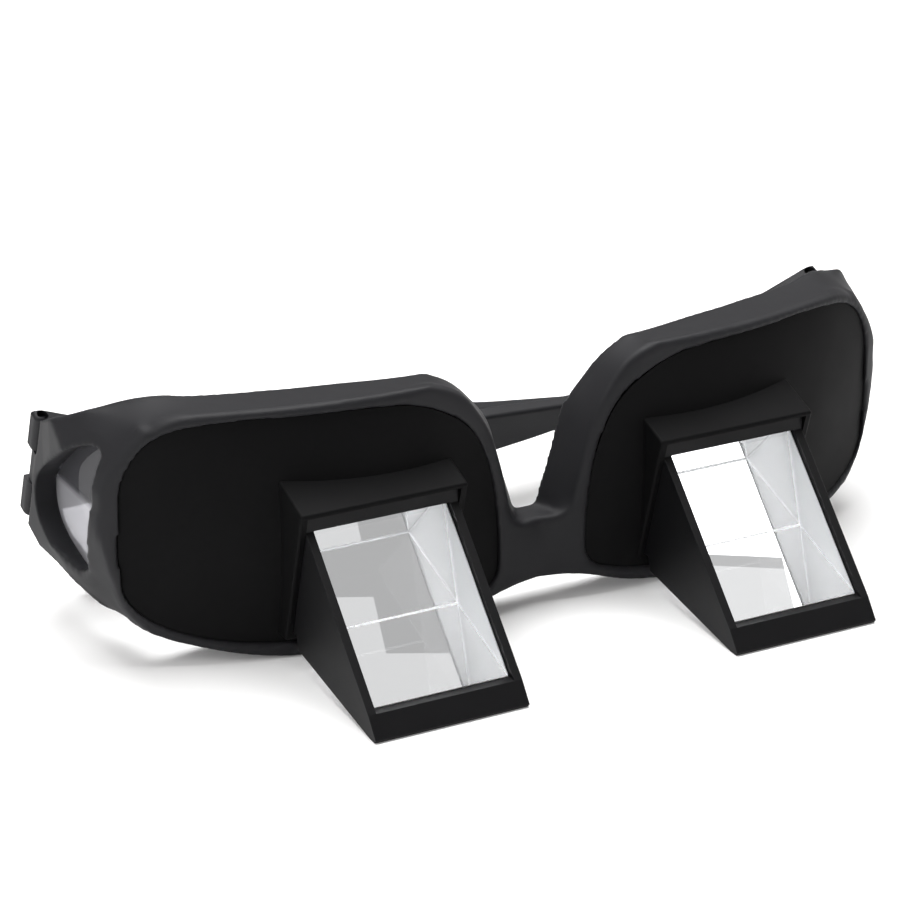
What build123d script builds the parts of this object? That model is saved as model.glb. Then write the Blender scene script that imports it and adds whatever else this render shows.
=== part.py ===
from build123d import *
import math
import os

# Prism bed glasses, standing folded on the flat lips of the two prism housings and on
# the flat bottom of the front frame. X runs along the front, the wearer's side is +Y and
# Z is up. Y = 0 is the front edge of the housing lips until everything is centred.

# Front frame, seen from the front and from above
frame_width = 158.0
frame_height = 46.0
frame_depth = 80.0
bow_radius = 117.0
bow_peak_x = 22.0
bow_peak_y = 31.4
side_flare = 0.5
corner_round = 7.0
bridge_depth = 6.0
notch_depth = 9.6
front_edge_round = 1.0

# Lens panel and its seat in the frame
seat_depth = 2.8
ledge = 1.0
panel_recess = 0.7
panel_bulge = 3.2
panel_gap = 0.05
skin_margin = 0.5

# Side opening in each side wall, with a window in it
vent_reach = 8.5
window_sink = 4.4
window_thickness = 1.0
window_rebate = 0.8
window_gap = 0.05

# Prism and its housing, centred in front of each eye
eye_x = 34.1
prism_leg = 24.0
prism_width = 25.0
prism_foot = 4.15
prism_bevel = 0.25
housing_width = 28.2
housing_wall = 1.5
housing_depth = 36.0
housing_height = 29.75
lip_nose = 0.6
lip_flat_start = 0.5
lip_flat_end = 2.2
lip_height = 4.05
lip_depth = 6.0
rim_lead = 1.4
prism_gap = 0.15
skirt_y = 29.4
skirt_z = 3.8
neck_y = 30.2
neck_z = 6.3
lintel_z = 27.0
top_wall = 1.45
foot_ledge = 1.0

# Socket block moulded on the front of the lens panel
block_width = 30.8
block_front_y = 24.3
block_front_z = 30.5
block_foot_y = 31.7
block_foot_z = 4.9
shelf_slope = 19.5
block_edge_round = 0.5
socket_gap = 0.05

# Retaining frame behind each prism
retainer_thickness = 1.5
retainer_bar = 1.8
retainer_gap = 0.05

# Hinge. Its axis leans back at the bottom, so a temple that droops when it is folded
# runs level when it is open.
hinge_inset = 1.8
hinge_setback = 7.5
hinge_z = 27.2
hinge_lean = 21.5
hinge_top = 11.6
hinge_bottom = 11.5
lug_top = 4.0
lug_bottom = 3.4
lug_root = 3.0
knuckle_radius = 1.45
knuckle_gap = 0.2
end_gap = 0.28

# Hinge screw
screw_diameter = 1.4
screw_gap = 0.04
head_diameter = 2.0
head_height = 0.8
head_sink = 1.2
screw_length = 20.5
driver_slot_width = 0.4
driver_slot_depth = 0.35

# Temples
tip_margin = 11.0
temple_thickness = 2.9
temple_tip_thickness = 2.5
temple_edge_round = 0.7
slot_gap = 0.5
butt_reach = 0.2
stop_round = 0.2
left_fold = -3.0
right_fold = 1.5

# One overrun serves every cut
overrun = 20.0
half_width = frame_width / 2
corner_x = half_width - side_flare
hinge_x = half_width - hinge_inset
hinge_y = frame_depth - hinge_setback
temple_length = frame_width - tip_margin


def bow_y(x, inset):
    """Y of the bowed front at x, a given depth behind its surface."""
    return bow_peak_y + bow_radius - math.sqrt((bow_radius - inset) ** 2 - (x - bow_peak_x) ** 2)


def scaled(shares, width, height):
    """Outline points from shares of a width and a height."""
    return [(u * width, v * height) for u, v in shares]


def roundest(points, closed):
    """The radius of each corner that uses most of the shorter of its two sides."""
    count = len(points)
    corners = range(count) if closed else range(1, count - 1)
    radii = []
    for i in corners:
        here = Vector(*points[i])
        before = Vector(*points[i - 1]) - here
        after = Vector(*points[(i + 1) % count]) - here
        turn = math.pi - math.radians(before.get_angle(after))
        radii.append(round_share * min(before.length, after.length) / math.tan(turn / 2))
    return radii


# A corner's arc takes this share of the shorter of its two sides
round_share = 0.48

# Outline of half the frame from the top over the cup and back under it, as shares of the
# half width and the height, first at the front and then at the end of the side pieces
frame_shares = [
    (0.0, 1.0), (0.700, 1.0), (0.811, 0.986), (0.849, 0.876), (0.906, 0.713), (0.940, 0.565),
    (0.920, 0.435), (0.911, 0.283), (0.865, 0.176), (0.843, 0.110), (0.730, 0.040), (0.606, 0.0),
    (0.355, 0.0), (0.215, 0.032), (0.115, 0.090), (0.050, 0.107), (0.0, 0.107),
]
flare_shares = [
    (0.0, 0.809), (0.700, 0.946), (0.914, 0.972), (1.072, 0.957), (1.086, 0.867), (1.073, 0.565),
    (1.063, 0.435), (1.011, 0.239), (0.972, 0.128), (0.851, 0.110), (0.730, 0.040), (0.606, 0.0),
    (0.355, 0.0), (0.215, 0.032), (0.115, 0.090), (0.050, 0.107), (0.0, 0.107),
]
# Half of the nose notch from its bottom to its top, in the same shares: wide at the front
# and narrow at the back
notch_front_shares = [
    (0.0, 0.359), (0.082, 0.359), (0.105, 0.593), (0.139, 0.780), (0.189, 0.891),
    (0.237, 0.963), (0.340, 1.04),
]
notch_back_shares = [
    (0.0, 0.359), (0.016, 0.359), (0.053, 0.548), (0.086, 0.770), (0.163, 0.886),
    (0.215, 0.945), (0.330, 1.04),
]
# Outline of the lens opening, as shares of the half width and the height
lens_shares = [
    (0.109, 0.140), (0.109, 0.370), (0.130, 0.620), (0.180, 0.815), (0.300, 0.940),
    (0.460, 0.957), (0.740, 0.960), (0.862, 0.922), (0.928, 0.770), (0.938, 0.480),
    (0.932, 0.265), (0.855, 0.155), (0.730, 0.085), (0.585, 0.060), (0.355, 0.060),
    (0.200, 0.095),
]
# Wearer's edge of the frame from the bridge to the hinge, seen from above, as shares of
# the half width and of the depth behind the bridge
rear_shares = [
    (0.0, 0.0), (0.110, 0.0), (0.240, -0.010), (0.420, 0.085), (0.620, 0.150),
    (0.780, 0.210), (0.855, 0.350), (0.905, 0.450), (0.922, 0.650), (0.928, 1.0),
]
# Side piece, seen from the side: its top and bottom edges, as shares of the depth and
# the height
side_top_shares = [(0.500, 1.05), (0.612, 0.980), (0.712, 0.902), (0.842, 0.817), (1.0, 0.720)]
side_foot_shares = [(0.575, 0.165), (0.690, 0.190), (0.790, 0.230), (0.880, 0.280), (1.0, 0.360)]
# Side opening, as shares of the depth and the height
vent_shares = [
    (0.595, 0.848), (0.592, 0.620), (0.667, 0.280), (0.788, 0.322), (0.880, 0.413),
    (0.879, 0.554), (0.769, 0.709), (0.656, 0.826),
]
# Temple, folded: top and bottom edges, as shares of the temple's length and of the
# height of its hinge end, which runs from 0 to 1
temple_top_shares = [
    (0.0, 1.0), (0.235, 0.290), (0.315, 0.150), (0.400, 0.210), (0.495, 0.285),
    (0.600, 0.075), (0.720, -0.055), (0.860, -0.210), (1.0, -0.360),
]
temple_foot_shares = [
    (1.0, -0.520), (0.890, -0.520), (0.800, -0.450), (0.700, -0.340), (0.560, -0.230),
    (0.450, -0.165), (0.370, -0.120), (0.300, -0.040), (0.150, 0.0),
]

# Planes and points that several pieces share
lean = math.radians(hinge_lean)
hinge_axis = Vector(0, -math.sin(lean), math.cos(lean))
hinge_back = Vector(0, math.cos(lean), math.sin(lean))
hinge_point = Vector(hinge_x, hinge_y, hinge_z)
hinge_height = hinge_top + hinge_bottom
wall_end = knuckle_radius + end_gap
side_angle = math.atan2(half_width - corner_x, frame_depth - bow_y(corner_x, 0))
side_plane = Plane(
    origin=(corner_x, bow_y(corner_x, 0), 0),
    x_dir=(math.sin(side_angle), math.cos(side_angle), 0),
    z_dir=(math.cos(side_angle), -math.sin(side_angle), 0),
)
bridge_back_y = bow_y(0, 0) + bridge_depth
front_view = Plane(origin=(0, 0, 0), x_dir=(1, 0, 0), z_dir=(0, -1, 0))
side_view = Plane(origin=(0, 0, 0), x_dir=(0, 1, 0), z_dir=(1, 0, 0))
lens_points = scaled(lens_shares, half_width, frame_height)
vent_points = [
    (u * frame_depth - bow_y(corner_x, 0), v * frame_height) for u, v in vent_shares
]


def hinge_plane(height):
    """Plane square to the left hinge's axis, at a height along it."""
    return Plane(origin=hinge_point + hinge_axis * height, x_dir=(1, 0, 0), z_dir=hinge_axis)


# Room in front of the ledge that the lens panel fills
with BuildPart() as lens_seat:
    with BuildSketch(front_view):
        with BuildLine():
            FilletPolyline(*lens_points, radius=roundest(lens_points, True), close=True)
        make_face()
    extrude(amount=-bow_peak_y - bow_radius)
    with BuildSketch(Plane.XY.offset(-overrun)):
        with Locations((bow_peak_x, bow_peak_y + bow_radius)):
            Circle(bow_radius - seat_depth)
    extrude(amount=frame_height + 2 * overrun, mode=Mode.SUBTRACT)

# Outline of the side opening on the slanted side wall
with BuildLine() as vent_outline:
    FilletPolyline(*vent_points, radius=roundest(vent_points, True), close=True)
vent_edges = vent_outline.edges()

# Front frame: a bowed shell with two lens cups, a low bridge, side pieces with an opening
# each, seats for the lens panels and windows, and a hinge lug at each end
with BuildPart() as frame_half:
    with BuildSketch(Plane.XY):
        with BuildLine():
            ThreePointArc(
                (0, bow_y(0, 0)), (corner_x / 2, bow_y(corner_x / 2, 0)), (corner_x, bow_y(corner_x, 0))
            )
            Line((corner_x, bow_y(corner_x, 0)), (half_width, frame_depth))
            rear_points = [
                (u * half_width, bridge_back_y + v * (frame_depth - bridge_back_y))
                for u, v in rear_shares
            ]
            FilletPolyline(*rear_points, radius=roundest(rear_points, False))
            Line(rear_points[-1], (half_width, frame_depth))
            Line((0, bow_y(0, 0)), rear_points[0])
        make_face()
        fillet(vertices().sort_by(Axis.X)[-3:].sort_by(Axis.Y)[0], radius=corner_round)
    extrude(amount=frame_height)
    for shares, depth in ((frame_shares, bow_peak_y), (flare_shares, frame_depth)):
        outline = scaled(shares, half_width, frame_height)
        with BuildSketch(front_view.offset(-depth)):
            with BuildLine():
                FilletPolyline(*outline, radius=roundest(outline, False))
                Line(outline[-1], outline[0])
            make_face()
    loft(ruled=True, mode=Mode.INTERSECT)
    with BuildSketch(side_view):
        with BuildLine():
            top_points = scaled(side_top_shares, frame_depth, frame_height)
            foot_points = scaled(side_foot_shares, frame_depth, frame_height)
            FilletPolyline(
                (0, frame_height + overrun), *top_points, radius=[0] + roundest(top_points, False)
            )
            FilletPolyline((0, 0), (foot_points[0][0], 0), *foot_points,
                           radius=[0, 0] + roundest(foot_points, False))
            Line((0, 0), (0, frame_height + overrun))
            Line(top_points[-1], foot_points[-1])
        make_face()
    extrude(amount=frame_width, mode=Mode.INTERSECT)
    with BuildSketch(hinge_plane(-frame_height)):
        with Locations((0, -wall_end)):
            Rectangle(frame_width, overrun, align=(Align.CENTER, Align.MIN))
    extrude(amount=2 * frame_height, mode=Mode.SUBTRACT)
    bow_edges = frame_half.faces().filter_by(GeomType.CYLINDER).sort_by(SortBy.AREA)[-1].edges()
    fillet(bow_edges.filter_by_position(Axis.X, front_edge_round, frame_width), front_edge_round)
    for shares, depth in ((notch_front_shares, bow_peak_y), (notch_back_shares, bow_peak_y + notch_depth)):
        outline = scaled(shares, half_width, frame_height)
        with BuildSketch(front_view.offset(-depth)):
            with BuildLine():
                FilletPolyline(*outline, radius=roundest(outline, False))
                Polyline(outline[-1], (0, outline[-1][1]), outline[0])
            make_face()
    loft(ruled=True, mode=Mode.SUBTRACT)
    bow_face = frame_half.faces().filter_by(GeomType.CYLINDER).sort_by(SortBy.AREA)[-1]
    notch_edges = bow_face.edges().filter_by_position(Axis.X, front_edge_round, bow_peak_x)
    fillet(notch_edges.filter_by_position(Axis.Z, frame_height / 4, frame_height), front_edge_round)
    with BuildSketch(front_view):
        with BuildLine():
            FilletPolyline(*lens_points, radius=roundest(lens_points, True), close=True)
        make_face()
        offset(amount=-ledge, kind=Kind.INTERSECTION)
    extrude(amount=-frame_depth - overrun, mode=Mode.SUBTRACT)
    add(lens_seat.part, mode=Mode.SUBTRACT)
    with BuildSketch(hinge_plane(-lug_bottom)):
        Circle(knuckle_radius)
        Rectangle(2 * knuckle_radius, wall_end + lug_root, align=(Align.CENTER, Align.MAX))
    extrude(amount=lug_bottom + lug_top)
    with BuildSketch(hinge_plane(-lug_bottom)):
        Circle(screw_diameter / 2 + screw_gap)
    extrude(amount=lug_bottom + lug_top, mode=Mode.SUBTRACT)
    with BuildSketch(side_plane.offset(-vent_reach)):
        make_face(vent_edges)
    extrude(amount=vent_reach + overrun, mode=Mode.SUBTRACT)
    with BuildSketch(side_plane.offset(-vent_reach)):
        make_face(vent_edges)
        offset(amount=window_rebate, kind=Kind.ARC)
    extrude(amount=vent_reach - window_sink, mode=Mode.SUBTRACT)

with BuildPart() as front_frame:
    add(frame_half.part)
    mirror(frame_half.part, about=Plane.YZ)

# Block on the lens panel that the prism housing plugs into
block_back_y = bow_y(block_width + eye_x, 0)
block_rise = (block_back_y - block_front_y) * math.tan(math.radians(shelf_slope))
with BuildPart() as block:
    with BuildSketch(side_view.offset(eye_x)):
        with BuildLine():
            Polyline(
                (block_foot_y, block_foot_z), (block_front_y, block_front_z),
                (block_back_y, block_front_z + block_rise), (block_back_y, block_foot_z), close=True,
            )
        make_face()
    extrude(amount=block_width / 2, both=True)
    fillet(block.edges().filter_by_position(Axis.Y, 0, block_back_y - block_edge_round), block_edge_round)

# Lens panel: an opaque pillow-shaped panel with the socket block, open behind the prism
lens_box = lens_seat.part.bounding_box()
skin_xs = (lens_box.min.X - skin_margin, (lens_box.min.X + lens_box.max.X) / 2, lens_box.max.X + skin_margin)
skin_zs = (lens_box.min.Z - skin_margin, (lens_box.min.Z + lens_box.max.Z) / 2, lens_box.max.Z + skin_margin)
skin_ys = [bow_y(x, panel_recess) for x in skin_xs]
skin_ys[1] = 2 * skin_ys[1] - (skin_ys[0] + skin_ys[2]) / 2
skin_net = [[Vector(x, y, z) for z in skin_zs] for x, y in zip(skin_xs, skin_ys)]
skin_net[1][1] -= Vector(0, 4 * panel_bulge, 0)
with BuildPart() as lens_panel:
    extrude(Face.make_bezier_surface(skin_net), amount=bow_radius, dir=(0, 1, 0))
    with BuildSketch(front_view):
        with BuildLine():
            FilletPolyline(*lens_points, radius=roundest(lens_points, True), close=True)
        make_face()
        offset(amount=-panel_gap, kind=Kind.INTERSECTION)
    extrude(amount=-bow_peak_y - bow_radius, mode=Mode.INTERSECT)
    add(block.part)
    with BuildSketch(Plane.XY.offset(-overrun)):
        with Locations((bow_peak_x, bow_peak_y + bow_radius)):
            Circle(bow_radius - seat_depth)
    extrude(amount=frame_height + 2 * overrun, mode=Mode.SUBTRACT)
    with BuildSketch(front_view):
        with Locations((eye_x, neck_z - socket_gap)):
            Rectangle(
                housing_width + 2 * socket_gap, housing_height - neck_z + 2 * socket_gap,
                align=(Align.CENTER, Align.MIN),
            )
    extrude(amount=-frame_depth, mode=Mode.SUBTRACT)

# Prism housing: two side walls, a top wall, a lintel and a lip round the sloped window,
# open below and behind
bay_width = housing_width - 2 * housing_wall
housing_view = side_view.offset(eye_x)
with BuildPart() as prism_housing:
    with BuildSketch(housing_view):
        with BuildLine():
            Polyline(
                (0, lip_nose), (lip_flat_start, 0), (lip_flat_end, 0), (skirt_y, skirt_z),
                (neck_y, neck_z), (housing_depth, neck_z), (housing_depth, housing_height),
                (lintel_z - rim_lead, housing_height), (lintel_z - rim_lead, lintel_z),
                (lip_height - rim_lead, lip_height), close=True,
            )
        make_face()
    extrude(amount=housing_width / 2, both=True)
    with BuildSketch(housing_view):
        with BuildLine():
            Polyline(
                (-overrun, lip_height), (housing_depth + overrun, lip_height),
                (housing_depth + overrun, housing_height - top_wall),
                (housing_height - top_wall - prism_gap, housing_height - top_wall),
                (lintel_z - prism_gap, lintel_z), (-overrun, lintel_z), close=True,
            )
        make_face()
    extrude(amount=bay_width / 2, both=True, mode=Mode.SUBTRACT)
    with BuildSketch(housing_view):
        with Locations((lip_depth, -overrun)):
            Rectangle(housing_depth + overrun, lip_height + overrun, align=Align.MIN)
    extrude(amount=bay_width / 2 - foot_ledge, both=True, mode=Mode.SUBTRACT)

# Right-angle glass prism: its sloped face is the window, one leg faces down and the
# other faces the eye
prism_top = prism_foot + prism_leg
retainer_front_y = prism_top + retainer_gap
with BuildPart() as prism:
    with BuildSketch(housing_view):
        with BuildLine():
            Polyline((prism_foot, prism_foot), (prism_top, prism_top), (prism_top, prism_foot), close=True)
        make_face()
    extrude(amount=prism_width / 2, both=True)
    chamfer(prism.edges(), prism_bevel)

# Retaining frame that holds the prism in its housing from behind
retainer_height = housing_height - top_wall - lip_height - 2 * retainer_gap
with BuildPart() as prism_retainer:
    with BuildSketch(Plane(origin=(eye_x, retainer_front_y, prism_foot), x_dir=(1, 0, 0), z_dir=(0, -1, 0))):
        with Locations((0, lip_height + retainer_gap - prism_foot)):
            Rectangle(bay_width - 2 * retainer_gap, retainer_height, align=(Align.CENTER, Align.MIN))
        offset(amount=-retainer_bar, mode=Mode.SUBTRACT)
    extrude(amount=-retainer_thickness)

# Smoked window that sits behind the opening in the side wall
with BuildPart() as side_window:
    with BuildSketch(side_plane.offset(-window_sink)):
        make_face(vent_edges)
        offset(amount=window_rebate - window_gap, kind=Kind.ARC)
    extrude(amount=-window_thickness)

# Hinge screw, put in from above, with a slotted head
head_top = hinge_top - head_sink
head_foot = head_top - head_height
with BuildPart() as hinge_screw:
    with BuildSketch(hinge_plane(head_foot)):
        Circle(head_diameter / 2)
    extrude(amount=head_height)
    with BuildSketch(hinge_plane(head_foot)):
        Circle(screw_diameter / 2)
    extrude(amount=-screw_length)
    with BuildSketch(hinge_plane(head_top)):
        Rectangle(2 * head_diameter, driver_slot_width)
    extrude(amount=-driver_slot_depth, mode=Mode.SUBTRACT)

# Each piece at the wearer's left, which has its mirror image at the right
mirrored_pairs = {
    "lens_panel": lens_panel.part,
    "prism_housing": prism_housing.part,
    "prism": prism.part,
    "prism_retainer": prism_retainer.part,
    "side_window": side_window.part,
    "hinge_screw": hinge_screw.part,
}


# Temples: a tall hinge end with two knuckles and a screw bore, a slim middle and a wide
# drooping ear end. The left one folds in front, the right one behind it.
butt = -knuckle_radius - butt_reach
temple_top = [(u * temple_length, v * hinge_height - hinge_bottom) for u, v in temple_top_shares]
temple_foot = [(u * temple_length, v * hinge_height - hinge_bottom) for u, v in temple_foot_shares]
temple_points = [(butt, hinge_top)] + temple_top + temple_foot + [(butt, -hinge_bottom)]
temple_radii = [0] + roundest(temple_points, True)[1:-1] + [0]
half_root = temple_thickness / 2
half_tip = temple_tip_thickness / 2
temples = {}
for side, name, fold in ((1, "left", left_fold), (-1, "right", right_fold)):
    turn = math.radians(fold)
    hinge_at = Vector(side * hinge_x, hinge_y, hinge_z)
    along = Vector(-side * math.cos(turn), 0, 0) + hinge_back * math.sin(turn)
    flank = Plane(origin=hinge_at, x_dir=along, z_dir=along.cross(hinge_axis))
    below = Plane(origin=hinge_at - hinge_axis * frame_height, x_dir=along, z_dir=hinge_axis)
    seat = Plane(origin=hinge_at + hinge_axis * head_foot, x_dir=along, z_dir=hinge_axis)
    slot = Plane(
        origin=hinge_at - hinge_axis * (lug_bottom + knuckle_gap), x_dir=along, z_dir=hinge_axis
    )
    with BuildPart() as temple:
        with BuildSketch(flank):
            with BuildLine():
                FilletPolyline(*temple_points, radius=temple_radii, close=True)
            make_face()
        extrude(amount=temple_thickness, both=True)
        with BuildSketch(below):
            with BuildLine():
                # Rounded at the corner that passes the frame, square at the opening stop
                FilletPolyline(
                    (butt, side * half_root), (temple_length / 2, side * half_root),
                    (temple_length - butt, side * half_tip), (temple_length - butt, -side * half_tip),
                    (temple_length / 2, -side * half_root), (butt, -side * half_root),
                    radius=[knuckle_radius - screw_gap, 0, 0, 0, 0, stop_round], close=True,
                )
            make_face()
        extrude(amount=2 * frame_height, mode=Mode.INTERSECT)
        side_edges = temple.faces().sort_by(SortBy.AREA)[-4:].edges()
        fillet(
            [edge for edge in side_edges if (edge.center() - hinge_at).dot(along) > knuckle_radius
             and abs((edge % 0.5).dot(hinge_axis)) < 0.98],
            temple_edge_round,
        )
        with BuildSketch(slot):
            with Locations((butt - slot_gap, 0)):
                Rectangle(
                    2 * knuckle_radius + 2 * slot_gap, 2 * temple_thickness,
                    align=(Align.MIN, Align.CENTER),
                )
        extrude(amount=lug_top + lug_bottom + 2 * knuckle_gap, mode=Mode.SUBTRACT)
        with BuildSketch(seat):
            Circle(screw_diameter / 2 + screw_gap)
        extrude(amount=-screw_length - screw_gap, mode=Mode.SUBTRACT)
        with BuildSketch(seat):
            Circle(head_diameter / 2 + screw_gap)
        extrude(amount=overrun, mode=Mode.SUBTRACT)
    temples[name] = temple.part

# Everything moves back onto the middle of its footprint, the origin
centre = Location((0, -temples["right"].bounding_box().max.Y / 2, 0))
pieces = {"front_frame": front_frame.part}
for name, left_piece in mirrored_pairs.items():
    pieces["left_" + name] = left_piece
    pieces["right_" + name] = mirror(left_piece, about=Plane.YZ)
for name, temple_piece in temples.items():
    pieces[name + "_temple"] = temple_piece

os.makedirs("parts", exist_ok=True)
for name, piece in pieces.items():
    placed = piece.moved(centre)
    placed.label = name
    export_step(placed, "parts/" + name + ".step")
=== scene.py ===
"""Prism bed glasses, folded, on a white table."""
import math

import bmesh
import bpy
import numpy as np
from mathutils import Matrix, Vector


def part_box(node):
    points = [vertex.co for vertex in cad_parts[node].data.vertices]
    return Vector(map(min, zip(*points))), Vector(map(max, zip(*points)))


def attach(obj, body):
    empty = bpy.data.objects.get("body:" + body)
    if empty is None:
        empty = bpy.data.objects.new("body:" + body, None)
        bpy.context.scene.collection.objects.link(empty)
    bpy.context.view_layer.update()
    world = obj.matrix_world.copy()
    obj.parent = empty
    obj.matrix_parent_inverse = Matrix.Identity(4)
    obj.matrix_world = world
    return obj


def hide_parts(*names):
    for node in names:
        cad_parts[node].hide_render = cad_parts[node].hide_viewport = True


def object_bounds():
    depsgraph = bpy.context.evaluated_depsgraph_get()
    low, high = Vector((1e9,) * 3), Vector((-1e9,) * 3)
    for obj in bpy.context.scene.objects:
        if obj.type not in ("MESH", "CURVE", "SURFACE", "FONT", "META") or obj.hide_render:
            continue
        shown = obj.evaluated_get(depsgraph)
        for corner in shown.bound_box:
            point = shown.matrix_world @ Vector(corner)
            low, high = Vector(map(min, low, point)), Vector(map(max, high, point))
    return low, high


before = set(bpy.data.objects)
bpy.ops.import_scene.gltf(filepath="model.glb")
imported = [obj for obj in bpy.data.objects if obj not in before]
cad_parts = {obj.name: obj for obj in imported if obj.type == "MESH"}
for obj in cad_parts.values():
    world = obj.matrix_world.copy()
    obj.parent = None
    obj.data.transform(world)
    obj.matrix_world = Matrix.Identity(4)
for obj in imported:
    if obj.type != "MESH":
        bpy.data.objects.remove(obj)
cad_box = [list(corner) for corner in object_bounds()]
MM = 0.001


# Camera
# It stands to the wearer's right and above, where the photograph was taken from, and looks
# down through a long lens at the front of the folded glasses.
def aimed(obj, azimuth, elevation):
    """Turns a camera or lamp up from straight down by 90 degrees less its elevation, then
    round the vertical by its azimuth, so that it looks back at what it stands round."""
    obj.rotation_euler = (math.radians(90 - elevation), 0, math.radians(azimuth))


CAMERA_PLACE = (-249.1 * MM, -457.909 * MM, 249.3 * MM)
CAMERA_AZIMUTH = -27.305
CAMERA_ELEVATION = 23.212
lens = bpy.data.cameras.new("camera")
lens.lens = 130
lens.sensor_width = 36
camera = bpy.data.objects.new("camera", lens)
bpy.context.scene.collection.objects.link(camera)
camera.location = CAMERA_PLACE
aimed(camera, CAMERA_AZIMUTH, CAMERA_ELEVATION)
bpy.context.scene.camera = camera


# Table and light
# A white laminate table top that fades into a white room, under a broad soft lamp almost
# overhead, with a weaker one at the wearer's right and a small one at the wearer's left.
def linear(hexa):
    """A colour written as sRGB hex, turned to linear RGBA: each part over 12.92 where it is
    dark, else the 2.4th power of that part plus 0.055 over 1.055."""
    parts = [int(hexa[i:i + 2], 16) / 255 for i in (1, 3, 5)]
    return [p / 12.92 if p <= 0.04045 else ((p + 0.055) / 1.055) ** 2.4 for p in parts] + [1]


def node(tree, kind, settings=None, **links):
    """Adds a shader node with its settings, and links or sets its sockets by name or number."""
    new = tree.nodes.new(kind)
    for key, value in (settings or {}).items():
        setattr(new, key, value)
    for key, value in links.items():
        socket = new.inputs[int(key[1:]) if key[1:].isdigit() else key.replace("_", " ")]
        if isinstance(value, bpy.types.NodeSocket):
            tree.links.new(value, socket)
        else:
            socket.default_value = value
    return new


def blank(name):
    """An empty node material and its tree."""
    material = bpy.data.materials.new(name)
    material.use_nodes = True
    tree = material.node_tree
    tree.nodes.clear()
    return material, tree


# Matt white laminate. Its own colour takes the glasses' shadow, and a faint glow lifts the
# rest of it to paper white for the camera, and further for what is seen through glass.
TABLE_WHITE = "#f4f4f4"
TABLE_GLOW = 0.12
TABLE_GLOW_THROUGH_GLASS = 0.55
TABLE_HALF = 3.0                     # metres from its middle to each side
table, tree = blank("white laminate table")
paint = node(tree, "ShaderNodeBsdfDiffuse", Color=linear(TABLE_WHITE))
seen = node(tree, "ShaderNodeLightPath")
direct = node(tree, "ShaderNodeMath", {"operation": "MULTIPLY"},
              i0=seen.outputs["Is Camera Ray"], i1=TABLE_GLOW)
through = node(tree, "ShaderNodeMath", {"operation": "MULTIPLY_ADD"},
               i0=seen.outputs["Is Transmission Ray"], i1=TABLE_GLOW_THROUGH_GLASS,
               i2=direct.outputs[0])
glow = node(tree, "ShaderNodeEmission", Color=(1, 1, 1, 1), Strength=through.outputs[0])
both = node(tree, "ShaderNodeAddShader", i0=paint.outputs[0], i1=glow.outputs[0])
node(tree, "ShaderNodeOutputMaterial", Surface=both.outputs[0])

corners = [(x * TABLE_HALF, y * TABLE_HALF, 0) for x, y in ((-1, -1), (1, -1), (1, 1), (-1, 1))]
table_mesh = bpy.data.meshes.new("table")
table_mesh.from_pydata(corners, [], [(0, 1, 2, 3)])
table_top = bpy.data.objects.new("table", table_mesh)
table_mesh.materials.append(table)
bpy.context.scene.collection.objects.link(table_top)

# The prisms send each look straight back. A reflection is painted into them: a room, brighter
# than the room's light, that only looks through glass see. In it the right prism mirrors a grey
# stand in front of the table to the wearer's left, and the left one the white room and a pale
# board in it. Neither lights anything. Both are patches of the room between two shares of a
# look's length along X, Y and Z.
ROOM_LIGHT = 0.2
ROOM_WHITE = "#fff9f5"
PAINTED_ROOM_IN_GLASS = 2.6
PAINTED_STAND = {"X": (0.3, 0.45), "Y": (-1, -0.35)}
PAINTED_STAND_SIDE = {"X": (-1, 0.392), "Z": (0.4351, 1)}
PAINTED_STAND_SHELF = {"Z": (0.4507, 0.6)}
PAINTED_STAND_GREY, PAINTED_STAND_PALE = 0.5, 0.8
PAINTED_BOARD = {"X": (0.45, 0.5035), "Y": (-1, -0.6), "Z": (0.4221, 1)}
PAINTED_BOARD_FACE = {"Z": (0.4252, 1)}
PAINTED_BOARD_GREY, PAINTED_BOARD_PALE = 0.6, 0.92
world = bpy.data.worlds.new("white room")
bpy.context.scene.world = world
world.use_nodes = True
tree = world.node_tree
tree.nodes.clear()
seen = node(tree, "ShaderNodeLightPath")
towards = node(tree, "ShaderNodeTexCoord")
heading = node(tree, "ShaderNodeSeparateXYZ", Vector=towards.outputs["Generated"])


def patch(limits):
    """One where a look's share along each named axis is between its two limits, else zero:
    the product of one comparison for each axis with the middle of its limits."""
    mask = 1.0
    for axis, (low, high) in limits.items():
        band = node(tree, "ShaderNodeMath", {"operation": "COMPARE"}, i0=heading.outputs[axis],
                    i1=(low + high) / 2, i2=(high - low) / 2)
        mask = node(tree, "ShaderNodeMath", {"operation": "MULTIPLY"}, i0=mask,
                    i1=band.outputs[0]).outputs[0]
    return mask


pale = node(tree, "ShaderNodeMath", {"operation": "MAXIMUM"}, i0=patch(PAINTED_STAND_SIDE),
            i1=patch(PAINTED_STAND_SHELF))
level = PAINTED_ROOM_IN_GLASS
for place, lit, low, high in ((patch(PAINTED_STAND), pale.outputs[0], PAINTED_STAND_GREY, PAINTED_STAND_PALE),
                              (patch(PAINTED_BOARD), patch(PAINTED_BOARD_FACE), PAINTED_BOARD_GREY, PAINTED_BOARD_PALE)):
    tone = node(tree, "ShaderNodeMapRange", Value=lit, To_Min=low, To_Max=high)
    level = node(tree, "ShaderNodeMix", i0=place, i2=level, i3=tone.outputs[0]).outputs[0]
room = node(tree, "ShaderNodeBackground", Color=linear(ROOM_WHITE), Strength=ROOM_LIGHT)
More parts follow.
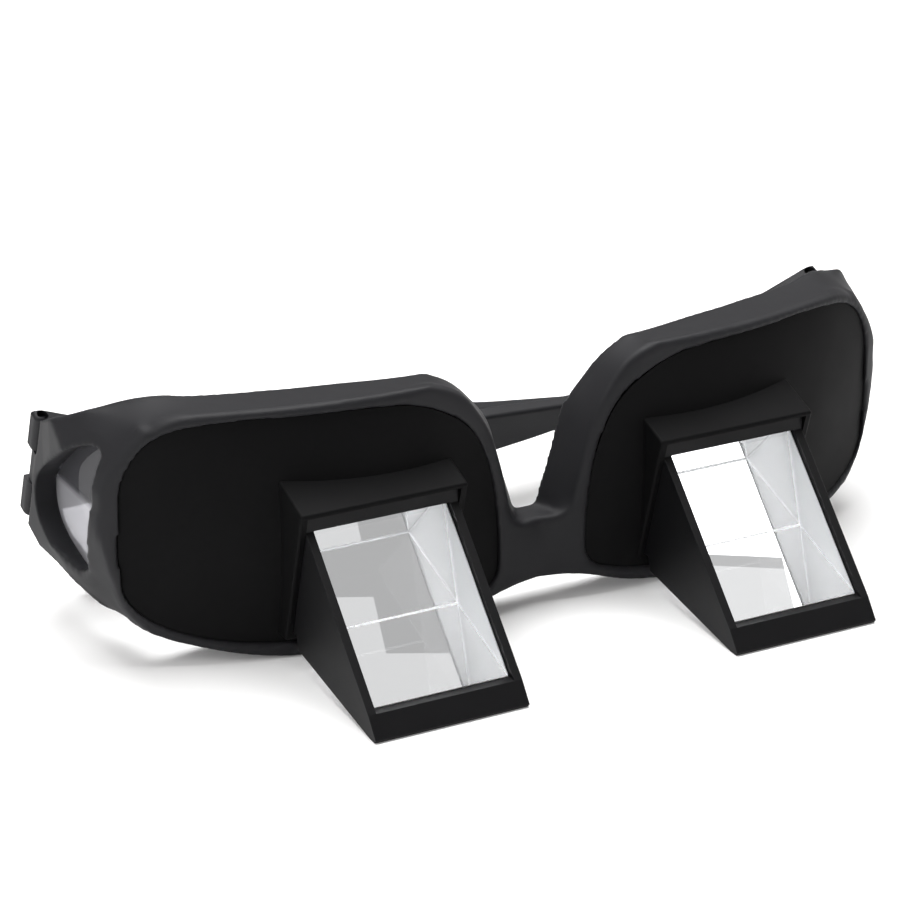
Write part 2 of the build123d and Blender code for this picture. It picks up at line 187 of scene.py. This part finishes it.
# Painted reflection: only looks through glass see this brighter room with the stand and board in
# it.
painted_reflection = node(tree, "ShaderNodeBackground", Color=(1, 1, 1, 1), Strength=level)
paper = node(tree, "ShaderNodeBackground", Color=(1, 1, 1, 1), Strength=1.0)
mix = node(tree, "ShaderNodeMixShader", i0=seen.outputs["Is Transmission Ray"],
           i1=room.outputs[0], i2=painted_reflection.outputs[0])
mix = node(tree, "ShaderNodeMixShader", i0=seen.outputs["Is Camera Ray"], i1=mix.outputs[0],
           i2=paper.outputs[0])
node(tree, "ShaderNodeOutputWorld", Surface=mix.outputs[0])

LAMP_AIM = 20 * MM                   # height of the point that each lamp faces


def softbox(name, azimuth, elevation, distance, size, power):
    """A square lamp at a distance from a point over the middle of the footprint, and turned to
    it. Azimuth 0 is in front and 90 at the wearer's left; sizes are in metres and watts."""
    lamp = bpy.data.lights.new(name, "AREA")
    lamp.energy = power
    lamp.size = size
    obj = bpy.data.objects.new(name, lamp)
    bpy.context.scene.collection.objects.link(obj)
    a, e = math.radians(azimuth), math.radians(elevation)
    obj.location = (math.sin(a) * math.cos(e) * distance, -math.cos(a) * math.cos(e) * distance,
                    math.sin(e) * distance + LAMP_AIM)
    aimed(obj, azimuth, elevation)


softbox("top softbox", azimuth=165, elevation=76, distance=0.9, size=0.8, power=14)
softbox("right softbox", azimuth=-75, elevation=42, distance=1.2, size=0.8, power=6)
softbox("left softbox", azimuth=95, elevation=28, distance=0.9, size=0.5, power=2)
bpy.context.scene.view_settings.view_transform = "Standard"


# Front frame
# One moulding of ABS with a black soft-touch coat: two bowed cups joined by the nose
# bridge, with side walls that carry the hinges. The coat rounds and evens every edge.
WELD = 0.001 * MM                    # triangles' corners this near are one
LEVEL = 0.5                          # degrees that neighbouring triangles of one face may turn


def merged(name, part):
    """A copy of a CAD part with its loose triangles joined at their corners, and those in one
    plane joined to one face."""
    mesh = part.data.copy()
    joined = bmesh.new()
    joined.from_mesh(mesh)
    bmesh.ops.remove_doubles(joined, verts=joined.verts, dist=WELD)
    bmesh.ops.dissolve_limit(joined, angle_limit=math.radians(LEVEL), verts=joined.verts,
                             edges=joined.edges)
    joined.to_mesh(mesh)
    joined.free()
    obj = bpy.data.objects.new(name, mesh)
    bpy.context.scene.collection.objects.link(obj)
    return obj


PULL_IN, PULL_OUT = 0.5, -0.512      # the second undoes the shrinking of the first
NORMAL_BLUR = 100                    # rounds
RIM, SKIN = 0.86, 0.94               # blurred normal's length where fairing starts, is whole


def evened(obj, voxel, rounds, fairing, moving, ease):
    """Remeshes a piece on a grid of voxels, then moves each point towards the mean of its
    neighbours and slightly more back out, rounds times, so that steps finer than about ten
    voxels go and the size stays. Then fairing more rounds, inwards only, melt the broad
    facets of the skin: the share of each point falls to nothing near the rims, where the
    mean of the normals round about is short. moving(points) is each point's own share, and
    where that is less than one the skin sinks by up to ease, which clears the hinges."""
    grid = obj.modifiers.new("grid", "REMESH")
    grid.mode = "VOXEL"
    grid.voxel_size = voxel
    ready = obj.evaluated_get(bpy.context.evaluated_depsgraph_get())
    mesh = bpy.data.meshes.new_from_object(ready)
    obj.modifiers.clear()
    obj.data = mesh
    count = len(mesh.vertices)
    points = np.empty(count * 3)
    mesh.vertices.foreach_get("co", points)
    points = points.reshape(-1, 3)
    ends = np.empty(len(mesh.edges) * 2, dtype=np.int32)
    mesh.edges.foreach_get("vertices", ends)
    a, b = ends.reshape(-1, 2).T
    neighbours = np.bincount(np.concatenate([a, b]), minlength=count)[:, None]

    def mean(values):
        """The mean of each point's neighbours: their sum over their number."""
        return np.stack([np.bincount(a, values[b, i], count) + np.bincount(b, values[a, i], count)
                         for i in range(3)], axis=1) / neighbours

    share = moving(points)[:, None]
    sunk = (1 - share) * ease
    for pull in [PULL_IN, PULL_OUT] * rounds:
        points += share * pull * (mean(points) - points)
    mesh.vertices.foreach_set("co", points.ravel())
    mesh.update()
    normals = np.empty(count * 3)
    mesh.vertices.foreach_get("normal", normals)
    normals = normals.reshape(-1, 3)
    points -= sunk * normals
    for blur in range(NORMAL_BLUR):
        normals += PULL_IN * (mean(normals) - normals)
    length = np.linalg.norm(normals, axis=1, keepdims=True)
    share = share * np.clip((length - RIM) / (SKIN - RIM), 0, 1)
    for step in range(fairing):
        points += share * PULL_IN * (mean(points) - points)
    mesh.vertices.foreach_set("co", points.ravel())
    mesh.polygons.foreach_set("use_smooth", np.ones(len(mesh.polygons), dtype=bool))
    mesh.update()


def swelled(obj, middle, reach, push):
    """Moves the points round a middle by push, fading with distance as a bell curve whose
    widths are reach, and with the turn of the skin away from the push, so that only the
    outside moves; the other side of the glasses mirrors it."""
    count = len(obj.data.vertices)
    points, normals = np.empty(count * 3), np.empty(count * 3)
    obj.data.vertices.foreach_get("co", points)
    obj.data.vertices.foreach_get("normal", normals)
    points = points.reshape(-1, 3)
    flip = np.ones((count, 3))
    flip[:, 0] = np.where(points[:, 0] < 0, -1, 1)
    near = np.exp(-0.5 * (((points * flip - middle) / reach) ** 2).sum(axis=1))
    facing = np.clip((normals.reshape(-1, 3) * flip) @ push / np.linalg.norm(push), 0, 1)
    points += (near * facing)[:, None] * push * flip
    points = np.clip(points, cad_box[0], cad_box[1])
    obj.data.vertices.foreach_set("co", points.ravel())
    obj.data.update()


HINGE_KEPT = 7 * MM                  # this near each screw the skin is eased and not evened
HINGE_FADE = 4 * MM


def away_from_hinges(points):
    """Zero within the kept reach of each hinge screw's upright middle line, rising in a
    straight line to one over the fade beyond it."""
    share = np.ones(len(points))
    for side in ("left", "right"):
        low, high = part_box(side + "_hinge_screw")
        middle = (np.array(low) + np.array(high)) / 2
        reach = np.hypot(points[:, 0] - middle[0], points[:, 1] - middle[1])
        share = np.minimum(share, np.clip((reach - HINGE_KEPT) / HINGE_FADE, 0, 1))
    return share


GLOSS_PATCHES = 120                  # in a metre, so that each is about 8 mm across
GLOSS_SPREAD = 0.06                  # how far roughness strays in them


def moulded(name, colour, roughness, specular, grain, depth):
    """Black moulded plastic: an even colour with slow changes of gloss, and a fine bump whose
    grain size and depth are in metres."""
    material, tree = blank(name)
    where = node(tree, "ShaderNodeTexCoord")
    slow = node(tree, "ShaderNodeTexNoise", Vector=where.outputs["Object"], Scale=GLOSS_PATCHES,
                Detail=4)
    gloss = node(tree, "ShaderNodeMapRange", Value=slow.outputs[0],
                 To_Min=roughness - GLOSS_SPREAD, To_Max=roughness + GLOSS_SPREAD)
    fine = node(tree, "ShaderNodeTexNoise", Vector=where.outputs["Object"], Scale=1 / grain,
                Detail=2)
    bump = node(tree, "ShaderNodeBump", Strength=1.0, Distance=depth, Height=fine.outputs[0])
    plastic = node(tree, "ShaderNodeBsdfPrincipled", Base_Color=linear(colour),
                   Roughness=gloss.outputs[0], Specular_IOR_Level=specular, IOR=1.5,
                   Normal=bump.outputs[0])
    node(tree, "ShaderNodeOutputMaterial", Surface=plastic.outputs[0])
    return material


def dress(obj, material):
    """Puts one material on a piece, in place of any other."""
    obj.data.materials.clear()
    obj.data.materials.append(material)


# A soft-touch coat scatters what falls on it, so the black looks dull and a little greyed,
# with broad faint highlights. Its grain is too fine to show and is drawn at 0.3 mm.
soft_touch = moulded("soft-touch coated ABS", "#1d1d20", roughness=0.58, specular=0.25,
                     grain=0.3 * MM, depth=0.004 * MM)
frame_piece = merged("moulded_front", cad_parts["front_frame"])
evened(frame_piece, voxel=0.42 * MM, rounds=80, fairing=300, moving=away_from_hinges,
       ease=0.3 * MM)
# Corners that stand fuller than the solid's: the middle, widths and push of each, in mm.
FOOT_CORNER = ((72.5, 9.5, 9.5), (6, 9, 6), (0.2, 0, -1.7))
UPPER_CORNER = ((67, 9.5, 43.5), (8, 6, 4), (0, 0.4, 0.9))
NOTCH_CORNER = ((16, -8, 42.5), (5, 6, 4), (-0.6, 0, 0.7))
for swelling in (FOOT_CORNER, UPPER_CORNER, NOTCH_CORNER):
    middle, reach, push = np.array(swelling) * MM
    swelled(frame_piece, middle, reach, push)
dress(frame_piece, soft_touch)
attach(frame_piece, "front")
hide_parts("front_frame")


# Lens panels
# Opaque bulging panels of spark-textured black ABS, pressed into the cups from the front,
# each moulded in one with the socket block that the prism housing plugs into.
def coat_both(piece, material):
    """Puts one material on the left and right CAD node of a piece."""
    for side in ("left", "right"):
        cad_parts[side + "_" + piece].material_slots[0].material = material


# Spark texture leaves hardly any highlight, so the panels look deep black beside the frame.
# Its grain is drawn at 0.25 mm, coarser than the real one, to show.
panel_black = moulded("spark-textured black ABS", "#0b0b0c", roughness=0.6, specular=0.08,
                      grain=0.25 * MM, depth=0.006 * MM)
coat_both("lens_panel", panel_black)

# Side windows
# Small plates of smoked polycarbonate, snapped into the side openings, with a light tint and a
# slight haze. Their upper part carries painted shade: the tint is dark above 26 mm and fades to
# the light one by 24.5 mm.
SMOKE_LIGHT, SMOKE_PAINTED_SHADE = "#b4b4b8", "#5c5c60"
PAINTED_SHADE_FADE = (24.5 * MM, 26.0 * MM)  # heights over which the tint changes
CLEAR_SHARE = 0.55                   # the rest of the light is scattered by the haze
WINDOW_IOR = 1.1                     # under polycarbonate's 1.58, as it barely mirrors here
smoke, tree = blank("smoked polycarbonate")
where = node(tree, "ShaderNodeTexCoord")
height = node(tree, "ShaderNodeSeparateXYZ", Vector=where.outputs["Object"])
# Painted shade: the plate's tint turns dark above these heights.
shade_fade = node(tree, "ShaderNodeMapRange", Value=height.outputs["Z"], From_Min=PAINTED_SHADE_FADE[0],
            From_Max=PAINTED_SHADE_FADE[1])
tint_and_shade = node(tree, "ShaderNodeMix", {"data_type": "RGBA"}, i0=shade_fade.outputs[0],
            i6=linear(SMOKE_LIGHT), i7=linear(SMOKE_PAINTED_SHADE))
plate = node(tree, "ShaderNodeBsdfPrincipled", Base_Color=tint_and_shade.outputs[2], Roughness=0.02,
             IOR=WINDOW_IOR, Specular_IOR_Level=0.15, Transmission_Weight=CLEAR_SHARE)
node(tree, "ShaderNodeOutputMaterial", Surface=plate.outputs[0])
coat_both("side_window", smoke)

# Prisms
# Right-angle prisms of dense flint glass. The sloped window and the two square faces are
# polished, and the two triangular ends and all the bevels are left finely ground, so white.
GLASS_TINT = "#fcfdfe"
FLINT_IOR = 1.72                     # high enough that both square faces mirror from within
SLOPE = (0, -0.7071, 0.7071)         # the way that the sloped window faces
WINDOW_START = 25 * MM               # along that way, past the bevel of the square corner
ANYWHERE = -1                        # metres, behind the whole prism
FLUSH = 0.99                         # least share of a normal along the way its face looks
flint, tree = blank("dense flint glass, polished and ground")
shape = node(tree, "ShaderNodeNewGeometry")
where = node(tree, "ShaderNodeTexCoord")
polished = 0.0
for way, start in ((SLOPE, WINDOW_START), ((0, 1, 0), ANYWHERE), ((0, 0, 1), ANYWHERE)):
    turn = node(tree, "ShaderNodeVectorMath", {"operation": "DOT_PRODUCT"},
                i0=shape.outputs["Normal"], i1=way)
    share = node(tree, "ShaderNodeMath", {"operation": "ABSOLUTE"}, i0=turn.outputs["Value"])
    flush = node(tree, "ShaderNodeMath", {"operation": "GREATER_THAN"}, i0=share.outputs[0],
                 i1=FLUSH)
    reach = node(tree, "ShaderNodeVectorMath", {"operation": "DOT_PRODUCT"},
                 i0=where.outputs["Object"], i1=way)
    past = node(tree, "ShaderNodeMath", {"operation": "GREATER_THAN"},
                i0=reach.outputs["Value"], i1=start)
    face = node(tree, "ShaderNodeMath", {"operation": "MULTIPLY"}, i0=flush.outputs[0],
                i1=past.outputs[0])
    polished = node(tree, "ShaderNodeMath", {"operation": "MAXIMUM"}, i0=polished,
                    i1=face.outputs[0]).outputs[0]
haze = node(tree, "ShaderNodeMapRange", Value=polished, To_Min=0.6, To_Max=0.0)
body = node(tree, "ShaderNodeBsdfPrincipled", Base_Color=linear(GLASS_TINT),
            Roughness=haze.outputs[0], IOR=FLINT_IOR, Transmission_Weight=polished)
node(tree, "ShaderNodeOutputMaterial", Surface=body.outputs[0])
coat_both("prism", flint)

# Prism housings
# Hollow wedges of satin black ABS, each with a lip that the glasses rest on, plugged into
# the panel's socket block round the prism. A satin tool finish gives soft edge highlights.
HOUSING_EDGE = 0.35 * MM             # the mould's edge rounding
EDGE_TURN = 35                       # degrees: only sharper edges than this are rounded
satin = moulded("satin black ABS", "#0d0d0f", roughness=0.5, specular=0.18, grain=0.3 * MM,
                depth=0.003 * MM)
for side in ("left", "right"):
    shell = merged(side + "_wedge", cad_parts[side + "_prism_housing"])
    bevel = shell.modifiers.new("bevel", "BEVEL")
    bevel.width = HOUSING_EDGE
    bevel.segments = 3
    bevel.limit_method = "ANGLE"
    bevel.angle_limit = math.radians(EDGE_TURN)
    bevel.harden_normals = True
    dress(shell, satin)
    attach(shell, "front")
    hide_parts(side + "_prism_housing")

# Prism retainers
# Thin frames of the same satin black ABS, pushed in behind each prism to hold it. The wearer
# looks through them.
coat_both("prism_retainer", satin)

# Temples
# Slim ABS temples with the frame's soft-touch coat, wide at the hinge and slender towards
# the ear. Each turns between the frame's knuckles on its screw.
coat_both("temple", soft_touch)

# Hinge screws
# Slotted screws of blackened steel that pin each temple between the frame's knuckles. The
# black oxide leaves a dark metal sheen, broken up by the marks of turning.
STEEL_BLACK = "#38383b"
TURNING_MARKS = 1800                 # in a metre, coarser than real ones, which are too fine
steel, tree = blank("blackened steel")
where = node(tree, "ShaderNodeTexCoord")
turned = node(tree, "ShaderNodeTexNoise", Vector=where.outputs["Object"], Scale=TURNING_MARKS,
              Detail=2)
shine = node(tree, "ShaderNodeMapRange", Value=turned.outputs[0], To_Min=0.3, To_Max=0.45)
metal = node(tree, "ShaderNodeBsdfPrincipled", Base_Color=linear(STEEL_BLACK),
             Metallic=1.0, Roughness=shine.outputs[0])
node(tree, "ShaderNodeOutputMaterial", Surface=metal.outputs[0])
coat_both("hinge_screw", steel)
